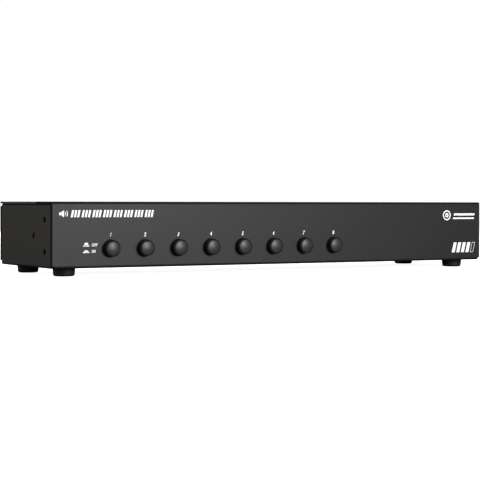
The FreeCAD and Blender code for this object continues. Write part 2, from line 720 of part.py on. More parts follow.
def make_cage(x):
    """Clamp with its wire hole, threaded top, and the tail that is soldered to the board."""
    half = CAGE_W / 2
    low = WIRE_Z - CAGE_H / 2
    high = WIRE_Z + CAGE_H / 2
    pin = CAGE_PIN / 2
    pin_y = TERMINAL_FRONT + CAGE_D / 2
    solid = fuse([
        box(x - half, x + half, CAGE_REAR - CAGE_D, CAGE_REAR, low, high),
        box(x - pin, x + pin, pin_y - pin, CAGE_REAR - CAGE_D, low, low + CAGE_PIN),
        box(x - pin, x + pin, pin_y - pin, pin_y + pin, BOARD_Z - PIN_BELOW_BOARD,
            low + CAGE_PIN),
    ])
    hole = WIRE_HOLE / 2
    hole_z = low + CAGE_FLOOR
    return cut(solid, [
        box(x - hole, x + hole, CAGE_REAR - CAGE_D + CAGE_FLOOR, CAGE_REAR, hole_z,
            hole_z + WIRE_HOLE),
        rod(vec(x, CAGE_MIDDLE, hole_z + WIRE_HOLE), vec(0, 0, 1),
            CLAMP_SCREW_R + CLAMP_THREAD_FIT, high - hole_z - WIRE_HOLE),
    ])


def make_clamp_screw(x):
    """Slotted screw standing in its well, its tip level with the roof of the wire hole."""
    down = vec(0, 0, -1)
    top = BOARD_TOP + TERMINAL_H - CLAMP_HEAD_H
    tip = WIRE_Z - CAGE_H / 2 + CAGE_FLOOR + WIRE_HOLE
    head = vec(x, CAGE_MIDDLE, top)
    solid = fuse([rod(head, down, CLAMP_HEAD_R, CLAMP_HEAD_H),
                  rod(head, down, CLAMP_SCREW_R, top - tip)])
    slot = box(x - CLAMP_HEAD_R, x + CLAMP_HEAD_R, CAGE_MIDDLE - DRIVE_W / 2,
               CAGE_MIDDLE + DRIVE_W / 2, top - DRIVE_DEPTH, top)
    return solid.cut(slot)


os.makedirs("parts", exist_ok=True)

save("chassis_base", make_chassis())
save("front_panel", make_front_panel())
save("top_cover", make_top_cover())
save("rear_panel", make_rear_panel())
save("case_screws", Part.makeCompound([countersunk_screw(*place) for place in screw_places()]))
for name, x, y in foot_places():
    save(name, make_foot(x, y))
save("foot_screws", Part.makeCompound([make_foot_screw(x, y) for name, x, y in foot_places()]))
save("rack_nuts", Part.makeCompound([make_ear_nut(side, behind, above)
                                     for side in (-1, 1) for behind, above in EAR_HOLES]))

save("main_board", make_board())
save("board_standoffs", Part.makeCompound([make_standoff(x, y) for x, y in standoff_places()]))
save("board_screws", Part.makeCompound([make_board_screw(x, y) for x, y in standoff_places()]))
for name, side in RESISTORS:
    save("series_resistor_" + name, make_resistor(side))

for number, x in enumerate(button_xs, 1):
    save("button_cap_%d" % number, make_cap(x))
    save("plunger_%d" % number, make_plunger(x))
    save("return_spring_%d" % number, make_spring(x))
    save("switch_body_%d" % number, make_switch_body(x))
save("switch_contacts", Part.makeCompound([make_contact(x, y) for x, y in contact_places()]))

terminal_names = ["amplifier_terminal"] + ["speaker_terminal_%d" % i for i in range(1, TERMINALS)]
for name, x in zip(terminal_names, terminal_xs):
    save(name, make_terminal(x))
save("terminal_cages", Part.makeCompound([make_cage(x) for x in cage_places()]))
save("terminal_screws", Part.makeCompound([make_clamp_screw(x) for x in cage_places()]))

print("return spring: %d turns, least gap to itself %.3f mm" % (SPRING_TURNS, spring_gap()))
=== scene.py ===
import bmesh
import bpy
import json
import math
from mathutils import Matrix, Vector


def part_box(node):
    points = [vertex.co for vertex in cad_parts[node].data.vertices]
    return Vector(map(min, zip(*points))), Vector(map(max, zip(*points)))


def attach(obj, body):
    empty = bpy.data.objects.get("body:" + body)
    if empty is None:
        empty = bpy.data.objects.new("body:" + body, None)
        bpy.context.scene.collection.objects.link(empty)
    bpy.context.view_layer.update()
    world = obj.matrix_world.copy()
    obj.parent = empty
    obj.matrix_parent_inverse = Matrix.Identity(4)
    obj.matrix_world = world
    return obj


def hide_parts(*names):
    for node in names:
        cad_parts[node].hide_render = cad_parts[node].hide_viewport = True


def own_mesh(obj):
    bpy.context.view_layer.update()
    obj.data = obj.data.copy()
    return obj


bl_info = {
    "name": "Speaker Selector Looks",
    "version": (1, 0, 0),
    "blender": (4, 5, 0),
    "location": "View3D > Sidebar > Selector",
    "description": "Finishes, printed marks, springs and studio for an eight-way speaker selector",
    "category": "Object",
}

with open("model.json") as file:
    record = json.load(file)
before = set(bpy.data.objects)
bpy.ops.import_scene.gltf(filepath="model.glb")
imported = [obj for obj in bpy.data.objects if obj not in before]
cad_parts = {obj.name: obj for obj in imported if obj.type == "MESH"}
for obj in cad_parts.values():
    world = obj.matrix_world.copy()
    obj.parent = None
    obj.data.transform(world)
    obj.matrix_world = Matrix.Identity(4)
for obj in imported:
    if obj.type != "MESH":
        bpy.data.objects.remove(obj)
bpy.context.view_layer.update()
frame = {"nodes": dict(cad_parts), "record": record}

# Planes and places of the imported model, in metres
MM = 0.001
PANEL_LOW, PANEL_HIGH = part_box("front_panel")
CHASSIS_LOW, CHASSIS_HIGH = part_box("chassis_base")
REAR_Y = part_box("rear_panel")[1].y
LEFT, FRONT_Y, BASE_Z = PANEL_LOW
RIGHT, TOP_Z = PANEL_HIGH.x, PANEL_HIGH.z
ZONES = 8
FINISH = "_finish"

# Floor as the camera sees it, and as it lights the case
FLOOR_SIZE = 16.0
FLOOR_GLOW = 0.93
FLOOR_BOUNCE = 0.18

# Painted shade in the bends of the sheet: how much darker, and how rough, the paint is there
BEND_PAINTED_SHADE = 0.12
BEND_ROUGHNESS = 0.9

# Off and on key: a word and two rounded blocks on each of its lines
KEY_X = LEFT + 26.4 * MM
KEY_BASE_W = 5.2 * MM
KEY_BASE_H = 1.0 * MM
KEY_BASE_ROUND = 0.45 * MM
KEY_CAP_INSET = 1.1 * MM
KEY_CAP_ROUND = 0.8 * MM
KEY_WORD_FROM = 7.1 * MM

# Zone scale: a loudspeaker pictogram and a group of bars for each zone
SCALE_LOW = BASE_Z + 39.8 * MM
SCALE_HIGH = BASE_Z + 45.4 * MM
SPEAKER_X = LEFT + 6.2 * MM
SPEAKER_BOX_W = 1.8 * MM
SPEAKER_BOX_H = 2.2 * MM
SPEAKER_HORN_W = 2.3 * MM
SPEAKER_THROAT = 0.4
WAVES_FROM = 3.6 * MM
SPEAKER_WAVES = (1.9 * MM, 3.4 * MM)
SPEAKER_WAVE_LINE = 0.65 * MM
SPEAKER_WAVE_ARC = 0.75
BARS_START = LEFT + 15.8 * MM
BARS_END = LEFT + 88.6 * MM
BARS = 3
BAR_STEP = 2.7 * MM
BAR_W = 1.7 * MM

# Driver mark: two rings and two rules
DRIVER_X = LEFT + 382.5 * MM
DRIVER_Z = BASE_Z + 40.3 * MM
CONE_R = 3.9 * MM
CONE_LINE = 1.1 * MM
DOME_R = 1.3 * MM
RULE_FROM = 7.6 * MM
RULE_W = 23.8 * MM
RULE_SHIFT = 0.7 * MM

# Corner bars: four leaning bars and an outlined one
CORNER_X = LEFT + 388.0 * MM
CORNER_LOW = BASE_Z + 6.9 * MM
CORNER_HIGH = BASE_Z + 15.9 * MM
CORNER_BARS = 4
CORNER_STEP = 5.2 * MM
CORNER_BAR_W = 3.4 * MM
CORNER_LEAN = 2.4 * MM
OUTLINE_X = LEFT + 408.9 * MM
OUTLINE = 0.35 * MM

# Rear legends, from each terminal's top and sides
LEGEND_RISE = 6.2 * MM
ARROW_W = 5.6 * MM
ARROW_HEAD_H = 2.6 * MM
ARROW_TIP = 0.04
SHAFT_W = 1.1 * MM
SHAFT_H = 3.6 * MM
SIGN_RISE = 1.8 * MM
SIGN_ARM = 0.9 * MM
SIGN_LINE = 0.27 * MM
TERMINAL_WAYS = 4
TERMINAL_SIDE = 1.2 * MM

# Overlap of two printed shapes that meet
LAP = 0.1 * MM


class PrintSizes(bpy.types.PropertyGroup):
    """Sizes of what is printed on the panels."""

    ink: bpy.props.FloatProperty(
        name="Ink thickness", description="How far the print stands proud of the paint",
        default=0.06 * MM, unit="LENGTH", precision=6)
    number_height: bpy.props.FloatProperty(
        name="Number height", description="Height of the number over each button",
        default=3.1 * MM, unit="LENGTH", precision=5)
    number_rise: bpy.props.FloatProperty(
        name="Number rise", description="From a button's axis up to its number's middle",
        default=10.7 * MM, unit="LENGTH", precision=5)
    word_height: bpy.props.FloatProperty(
        name="Word height", description="Height of the words beside the button pictograms",
        default=2.35 * MM, unit="LENGTH", precision=5)
    rear_number_height: bpy.props.FloatProperty(
        name="Rear number height", description="Height of the number over each terminal",
        default=4.0 * MM, unit="LENGTH", precision=5)
    slant: bpy.props.FloatProperty(
        name="Slant", description="How far italic print leans, as a share of its height",
        default=0.22, min=0.0, max=1.0, subtype="FACTOR")
    weight: bpy.props.FloatProperty(
        name="Weight", description="How far the letters are fattened, as a share of their size",
        default=0.022, min=0.0, max=0.1)
    narrow: bpy.props.FloatProperty(
        name="Narrow", description="Width of the letters as a share of their natural width",
        default=0.85, min=0.3, max=1.5, subtype="FACTOR")


class SpringSizes(bpy.types.PropertyGroup):
    """Sizes of the return springs."""

    wire: bpy.props.FloatProperty(
        name="Wire", description="Diameter of the spring wire",
        default=0.5 * MM, unit="LENGTH", precision=5)
    turns: bpy.props.IntProperty(
        name="Turns", description="Number of turns in each spring", default=6, min=2, max=12)


class Finishes(bpy.types.PropertyGroup):
    """Colours of the paint, plastics and print."""

    paint: bpy.props.FloatVectorProperty(
        name="Paint", description="Black powder coat of the case",
        default=(0.0075, 0.0075, 0.0074), min=0.0, max=1.0, size=3, subtype="COLOR")
    button: bpy.props.FloatVectorProperty(
        name="Buttons", description="Moulded plastic of the button caps",
        default=(0.024, 0.024, 0.024), min=0.0, max=1.0, size=3, subtype="COLOR")
    rubber: bpy.props.FloatVectorProperty(
        name="Feet", description="Rubber of the feet",
        default=(0.008, 0.008, 0.008), min=0.0, max=1.0, size=3, subtype="COLOR")
    ink: bpy.props.FloatVectorProperty(
        name="Ink", description="White screen print",
        default=(0.92, 0.92, 0.91), min=0.0, max=1.0, size=3, subtype="COLOR")
    floor: bpy.props.FloatVectorProperty(
        name="Floor", description="Pale studio floor",
        default=(0.9, 0.9, 0.9), min=0.0, max=1.0, size=3, subtype="COLOR")


class StudioSettings(bpy.types.PropertyGroup):
    """Camera and lights."""

    turn: bpy.props.FloatProperty(
        name="Turn", description="How far the view is turned from straight on",
        default=math.radians(30.31), subtype="ANGLE")
    roll: bpy.props.FloatProperty(
        name="Roll", description="Lean of the camera about its view",
        default=math.radians(-0.09), subtype="ANGLE")
    distance: bpy.props.FloatProperty(
        name="Distance", description="Along the view to the case's near top corner",
        default=1.1396, unit="LENGTH")
    aside: bpy.props.FloatProperty(
        name="Aside", description="Across the view from that corner to the camera",
        default=0.1445, unit="LENGTH")
    drop: bpy.props.FloatProperty(
        name="Drop", description="How far the camera is below the case's top",
        default=0.67 * MM, unit="LENGTH", precision=5)
    lens: bpy.props.FloatProperty(
        name="Lens", description="Focal length in millimetres", default=111.34, min=10.0)
    shift: bpy.props.FloatProperty(
        name="Shift", description="Vertical shift that frames the case", default=-0.07775)
    key: bpy.props.FloatProperty(
        name="Key light", description="Power of the soft light in front, in watts",
        default=19.5, min=0.0)
    ambient: bpy.props.FloatProperty(
        name="Surroundings", description="Brightness of the room's reflected light",
        default=0.14, min=0.0)


# Selecting and shaping

def only(obj):
    """Select this object alone and make it active."""
    bpy.ops.object.select_all(action="DESELECT")
    obj.select_set(True)
    bpy.context.view_layer.objects.active = obj


def settle(obj):
    """Put the object's place, turn and scale into its mesh."""
    only(obj)
    bpy.ops.object.transform_apply(location=True, rotation=True, scale=True)


def edited_mesh(obj):
    """Mesh of the object in edit mode, with nothing selected."""
    mesh = bmesh.from_edit_mesh(obj.data)
    for part in (*mesh.faces, *mesh.edges, *mesh.verts):
        part.select = False
    return mesh


def select_edges(obj, test):
    """Select the edges in edit mode whose two ends pass the test."""
    mesh = edited_mesh(obj)
    for edge in mesh.edges:
        if test(edge.verts[0].co, edge.verts[1].co):
            edge.select_set(True)
    bmesh.update_edit_mesh(obj.data)


def select_corners(obj, test):
    """Select the corners in edit mode that pass the test."""
    mesh = edited_mesh(obj)
    for corner in mesh.verts:
        if test(corner.co):
            corner.select_set(True)
    mesh.select_flush(True)
    bmesh.update_edit_mesh(obj.data)


def clean(obj):
    """Merge doubles and turn every face outwards."""
    only(obj)
    bpy.ops.object.mode_set(mode="EDIT")
    bpy.ops.mesh.select_all(action="SELECT")
    bpy.ops.mesh.remove_doubles(threshold=1e-6)
    bpy.ops.mesh.normals_make_consistent(inside=False)
    bpy.ops.object.mode_set(mode="OBJECT")


def join(objects, name):
    """Make one object of several."""
    only(objects[0])
    for obj in objects:
        obj.select_set(True)
    bpy.ops.object.join()
    joined = bpy.context.object
    joined.name = joined.data.name = name
    return joined


def mesh_box(obj):
    """Lowest and highest corner of a mesh."""
    points = [corner.co for corner in obj.data.vertices]
    low = Vector(min(p[i] for p in points) for i in range(3))
    high = Vector(max(p[i] for p in points) for i in range(3))
    return low, high


# Printed shapes

def print_y(back):
    """Middle of the ink's thickness, sunk a third of the way into the paint."""
    ink = bpy.context.scene.print_sizes.ink
    return REAR_Y + ink / 6 if back else FRONT_Y - ink / 6


def ink_block(x0, x1, z0, z1, slant=0.0, top_round=0.0, back=False):
    """Printed bar: its top leans by slant, and its upper corners are rounded."""
    ink = bpy.context.scene.print_sizes.ink
    bpy.ops.mesh.primitive_cube_add(
        size=1, location=((x0 + x1) / 2, print_y(back), (z0 + z1) / 2),
        scale=(x1 - x0, ink, z1 - z0))
    bar = bpy.context.object
    settle(bar)
    middle = (z0 + z1) / 2
    bpy.ops.object.mode_set(mode="EDIT")
    if slant:
        select_corners(bar, lambda p: p.z > middle)
        bpy.ops.transform.translate(value=(slant, 0, 0))
    if top_round:
        select_edges(bar, lambda a, b: a.z > middle and b.z > middle and abs(a.x - b.x) < ink / 10)
        bpy.ops.mesh.bevel(offset=top_round, segments=5, affect="EDGES")
    bpy.ops.object.mode_set(mode="OBJECT")
    return bar


def ink_ring(x, z, radius, width, arc=None, back=False):
    """Printed ring, or the part of it within arc of the +X direction."""
    bpy.ops.mesh.primitive_torus_add(
        location=(0, 0, 0), rotation=(math.pi / 2, 0, 0), major_radius=radius,
        minor_radius=width / 2, major_segments=72, minor_segments=8)
    ring = bpy.context.object
    settle(ring)
    if arc:
        bpy.ops.object.mode_set(mode="EDIT")
        select_corners(ring, lambda p: abs(math.atan2(p.z, p.x)) > arc)
        bpy.ops.mesh.delete(type="VERT")
        bpy.ops.mesh.select_all(action="SELECT")
        bpy.ops.mesh.fill_holes(sides=8)
        bpy.ops.object.mode_set(mode="OBJECT")
    ring.scale.y = bpy.context.scene.print_sizes.ink / width
    ring.location = (x, print_y(back), z)
    settle(ring)
    return ring


def ink_text(words, height, x, z, back=False, left=False, width=None):
    """Bold italic print of a given height, centred on x or starting there."""
    sizes = bpy.context.scene.print_sizes
    turn = (math.pi / 2, 0, math.pi if back else 0)
    bpy.ops.object.select_all(action="DESELECT")
    bpy.ops.object.text_add(location=(0, 0, 0), rotation=turn)
    obj = bpy.context.object
    obj.data.body = words
    obj.data.shear = sizes.slant
    obj.data.offset = sizes.weight
    obj.data.extrude = 0.05
    obj.data.resolution_u = 6
    only(obj)
    bpy.ops.object.convert(target="MESH")
    obj = bpy.context.object
    settle(obj)
    low, high = mesh_box(obj)
    scale = height / (high.z - low.z)
    middle = (low + high) / 2
    across = width / (high.x - low.x) if width else scale * sizes.narrow
    obj.scale = (across, sizes.ink / (high.y - low.y), scale)
    start = low.x if left else middle.x
    obj.location = (x - start * obj.scale.x, print_y(back) - middle.y * obj.scale.y,
                    z - middle.z * scale)
    settle(obj)
    return obj


def finish_print(parts, name):
    """Join printed parts into one piece of white ink on the case."""
    piece = join(parts, name) if len(parts) > 1 else parts[0]
    piece.name = piece.data.name = name
    clean(piece)
    piece.data.materials.clear()
    piece.data.materials.append(finish("screen_ink"))
    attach(piece, "case")
    return piece


# Node groups

def new_group(name, inputs, outputs):
    """Shader node group with named float sockets, and its two end nodes."""
    tree = bpy.data.node_groups.new(name, "ShaderNodeTree")
    for label, default in inputs:
        socket = tree.interface.new_socket(name=label, in_out="INPUT", socket_type="NodeSocketFloat")
        socket.default_value = default
    for label in outputs:
        tree.interface.new_socket(name=label, in_out="OUTPUT", socket_type="NodeSocketFloat")
    return tree, tree.nodes.new("NodeGroupInput"), tree.nodes.new("NodeGroupOutput")


def make_grain_group():
    """Fine grain and broad patches, from sizes in metres."""
    tree, ins, outs = new_group(
        "surface_grain", [("Grain Size", 0.0004), ("Patch Size", 0.05)], ["Grain", "Patches"])
    place = tree.nodes.new("ShaderNodeTexCoord")
    for size, output, detail in (("Grain Size", "Grain", 2.0), ("Patch Size", "Patches", 4.0)):
        rate = tree.nodes.new("ShaderNodeMath")
        rate.operation = "DIVIDE"
        rate.inputs[0].default_value = 1.0
        tree.links.new(ins.outputs[size], rate.inputs[1])
        noise = tree.nodes.new("ShaderNodeTexNoise")
        noise.inputs["Detail"].default_value = detail
        tree.links.new(place.outputs["Object"], noise.inputs["Vector"])
        tree.links.new(rate.outputs[0], noise.inputs["Scale"])
        spread = tree.nodes.new("ShaderNodeMapRange")
        spread.inputs["From Min"].default_value = 0.3
        spread.inputs["From Max"].default_value = 0.7
        tree.links.new(noise.outputs["Fac"], spread.inputs["Value"])
        tree.links.new(spread.outputs["Result"], outs.inputs[output])
    return tree


def make_band_group():
    """Mask that rises smoothly from 0 at Start to 1 at End."""
    tree, ins, outs = new_group(
        "edge_band", [("Position", 0.0), ("Start", 0.0), ("End", 1.0)], ["Mask"])
    ramp = tree.nodes.new("ShaderNodeMapRange")
    ramp.interpolation_type = "SMOOTHSTEP"
    tree.links.new(ins.outputs["Position"], ramp.inputs["Value"])
    tree.links.new(ins.outputs["Start"], ramp.inputs["From Min"])
    tree.links.new(ins.outputs["End"], ramp.inputs["From Max"])
    tree.links.new(ramp.outputs["Result"], outs.inputs["Mask"])
    return tree


def finish(name):
    """Material of the finish with this name."""
    return bpy.data.materials[name + FINISH]


class Finish:
    """A material being built: its colour and roughness follow one grain."""

    def __init__(self, name, dark, light, rough, grain=0.4 * MM, patch=0.05,
                 bump=0.1, depth=0.02 * MM, metallic=0.0, specular=0.5):
        self.material = bpy.data.materials.new(name + FINISH)
        self.material.use_nodes = True
        self.tree = self.material.node_tree
        self.shader = self.tree.nodes["Principled BSDF"]
        self.shader.inputs["Metallic"].default_value = metallic
        self.shader.inputs["Specular IOR Level"].default_value = specular
        surface = self.add("ShaderNodeGroup")
        surface.node_tree = bpy.data.node_groups["surface_grain"]
        surface.inputs["Grain Size"].default_value = grain
        surface.inputs["Patch Size"].default_value = patch
        self.grain = surface.outputs["Grain"]
        self.patches = surface.outputs["Patches"]
        tone = self.mix_values(self.patches, self.grain, 0.35)
        self.colour = self.mix_colours(tone, dark, light)
        self.rough = self.spread(self.grain, *rough)
        relief = self.add("ShaderNodeBump")
        relief.inputs["Strength"].default_value = bump
        relief.inputs["Distance"].default_value = depth
        self.link(self.grain, relief.inputs["Height"])
        self.link(relief.outputs["Normal"], self.shader.inputs["Normal"])

    def add(self, kind):
        return self.tree.nodes.new(kind)

    def link(self, source, target):
        self.tree.links.new(source, target)

    def mix_colours(self, factor, first, second):
        node = self.add("ShaderNodeMix")
        node.data_type = "RGBA"
        self.link(factor, node.inputs[0])
        for source, target in ((first, node.inputs[6]), (second, node.inputs[7])):
            if isinstance(source, bpy.types.NodeSocket):
                self.link(source, target)
            else:
                target.default_value = (*source, 1.0)
        return node.outputs[2]

    def mix_values(self, first, second, share):
        node = self.add("ShaderNodeMix")
        node.inputs[0].default_value = share
        self.link(first, node.inputs[2])
        self.link(second, node.inputs[3])
        return node.outputs[0]

    def spread(self, source, low, high):
        node = self.add("ShaderNodeMapRange")
        node.inputs["To Min"].default_value = low
        node.inputs["To Max"].default_value = high
        self.link(source, node.inputs["Value"])
        return node.outputs["Result"]

    def position(self, axis, absolute=False):
        """Object coordinate along X, Y or Z."""
        place = self.add("ShaderNodeTexCoord")
        split = self.add("ShaderNodeSeparateXYZ")
        self.link(place.outputs["Object"], split.inputs[0])
        if not absolute:
            return split.outputs[axis]
        size = self.add("ShaderNodeMath")
        size.operation = "ABSOLUTE"
        self.link(split.outputs[axis], size.inputs[0])
        return size.outputs[0]

    def band(self, axis, start, end, colour, rough, absolute=False):
        """Blend to another colour and roughness between two places along an axis."""
        node = self.add("ShaderNodeGroup")
        node.node_tree = bpy.data.node_groups["edge_band"]
        node.inputs["Start"].default_value = start
        node.inputs["End"].default_value = end
        self.link(self.position(axis, absolute), node.inputs["Position"])
        mask = node.outputs["Mask"]
        self.colour = self.mix_colours(mask, self.colour, colour)
        other = self.add("ShaderNodeMix")
        self.link(mask, other.inputs[0])
        self.link(self.rough, other.inputs[2])
        other.inputs[3].default_value = rough
        self.rough = other.outputs[0]
        return self

    def done(self):
        self.link(self.colour, self.shader.inputs["Base Color"])
        self.link(self.rough, self.shader.inputs["Roughness"])
        return self.material


def shade(colour, factor):
    return tuple(channel * factor for channel in colour)


def paint(name, colour, rough=(0.46, 0.56)):
    """Satin powder coat: a fine orange-peel grain over faint broad patches."""
    return Finish(name, shade(colour, 0.85), shade(colour, 1.2), rough, grain=0.5 * MM,
                  patch=0.09, bump=0.12, depth=0.03 * MM, specular=0.3)


def metal(name, dark, light, rough=(0.25, 0.4), grain=0.3 * MM):
    """Plated or bare metal with a fine drawn grain."""
    return Finish(name, dark, light, rough, grain=grain, patch=0.006, bump=0.08,
                  depth=0.01 * MM, metallic=1.0).done()


def make_case_paints(colours):
    """Paint of the case, with painted shade in the bends and on the panel's ends, and a painted
    highlight along the cover's side edges.
    """
    # Painted shade: darker, rougher paint in the bends, where shade falls
    painted_bend_shade = {"colour": shade(colours.paint, BEND_PAINTED_SHADE), "rough": BEND_ROUGHNESS}
    # Painted highlight: a paler band along the cover's side edges, where light catches them
    painted_edge_highlight = {"colour": (0.045, 0.045, 0.043), "rough": 0.5}
    ledge = CHASSIS_HIGH.z
    panel = paint("panel_paint", colours.paint)
    # Painted shade in the panel's top and bottom bends and on its ends
    panel.band("Z", TOP_Z - 2.3 * MM, TOP_Z - 1.4 * MM, **painted_bend_shade)
    panel.band("Z", BASE_Z + 1.7 * MM, BASE_Z + 0.9 * MM, **painted_bend_shade)
    panel.band("X", RIGHT - 0.9 * MM, RIGHT - 0.3 * MM, absolute=True, **painted_bend_shade)
    panel.done()
    cover = paint("cover_paint_and_edge_highlight", colours.paint, rough=(0.7, 0.8))
    # Painted highlight along the cover's side edges
    cover.band("X", RIGHT - 0.5 * MM, RIGHT - 0.1 * MM, absolute=True, **painted_edge_highlight)
    cover.done()
    chassis = paint("chassis_paint", colours.paint)
    # Painted shade in the chassis's top, bottom, front and rear bends
    chassis.band("Z", ledge - 1.7 * MM, ledge - 0.9 * MM, **painted_bend_shade)
    chassis.band("Z", BASE_Z + 1.6 * MM, BASE_Z + 0.7 * MM, **painted_bend_shade)
    chassis.band("Y", CHASSIS_LOW.y + 0.8 * MM, CHASSIS_LOW.y + 0.2 * MM, **painted_bend_shade)
    chassis.band("Y", REAR_Y - 3.6 * MM, REAR_Y - 2.6 * MM, **painted_bend_shade)
    chassis.done()
    paint("rear_paint", colours.paint).done()


def make_plastics(colours):
    """Plastics, rubber and ceramic, with painted shade on the button caps' side walls behind their
    domes.
    """
    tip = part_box("button_cap_1")[0].y
    button = Finish("button_plastic", shade(colours.button, 0.9), shade(colours.button, 1.15),
                    (0.37, 0.43), grain=0.25 * MM, patch=0.01, bump=0.04, specular=0.33)
    # Painted shade: the caps' side walls behind the domes are painted near-black and rough
    button.band("Y", tip + 0.6 * MM, tip + 1.0 * MM, shade(colours.button, 0.08), 0.95)
    button.done()
    rubber = Finish("foot_rubber", shade(colours.rubber, 0.8), shade(colours.rubber, 1.5),
                    (0.5, 0.65), grain=0.35 * MM, patch=0.006, bump=0.25, specular=0.2)
    rubber.band("Z", 0.9 * MM, 0.0, shade(colours.rubber, 2.2), 0.8)
    rubber.done()
    Finish("switch_plastic", (0.05, 0.05, 0.055), (0.07, 0.07, 0.075), (0.45, 0.6)).done()
    Finish("slider_plastic", (0.72, 0.71, 0.66), (0.8, 0.79, 0.75), (0.35, 0.5)).done()
    Finish("terminal_plastic", (0.016, 0.016, 0.017), (0.026, 0.026, 0.027), (0.42, 0.58),
           grain=0.3 * MM, patch=0.012, bump=0.15).done()
    Finish("ceramic", (0.6, 0.58, 0.52), (0.72, 0.7, 0.64), (0.75, 0.95), grain=0.5 * MM,
           patch=0.008, bump=0.5, depth=0.05 * MM).done()


def make_metals():
    """Metals of the screws, springs, contacts and clamps."""
    metal("black_screw", (0.02, 0.02, 0.022), (0.045, 0.045, 0.048), rough=(0.35, 0.5))
    metal("zinc_plate", (0.5, 0.5, 0.48), (0.66, 0.66, 0.63))
    metal("spring_steel", (0.42, 0.42, 0.43), (0.6, 0.6, 0.61), rough=(0.18, 0.3))
    metal("tinned_contact", (0.62, 0.62, 0.61), (0.75, 0.75, 0.74))
    metal("brass_clamp", (0.5, 0.36, 0.13), (0.68, 0.5, 0.21))


def make_board_finish():
    """Green solder mask over straight copper tracks."""
    board = Finish("circuit_board", (0.008, 0.07, 0.025), (0.012, 0.1, 0.035), (0.25, 0.35),
                   grain=0.3 * MM, patch=0.02, specular=0.5)
    place = board.add("ShaderNodeTexCoord")
    tracks = board.add("ShaderNodeTexBrick")
    tracks.inputs["Scale"].default_value = 90.0
    tracks.inputs["Mortar Size"].default_value = 0.06
    board.link(place.outputs["Object"], tracks.inputs["Vector"])
    board.colour = board.mix_colours(tracks.outputs["Fac"], board.colour, (0.03, 0.17, 0.06))
    board.done()


def make_ink(colours):
    """White ink of all the print."""
    Finish("screen_ink", shade(colours.ink, 0.94), colours.ink, (0.4, 0.55), grain=0.15 * MM,
           patch=0.01, bump=0.05).done()


NODE_FINISHES = {
    "front_panel": "panel_paint",
    "top_cover": "cover_paint_and_edge_highlight",
    "rear_panel": "rear_paint",
}


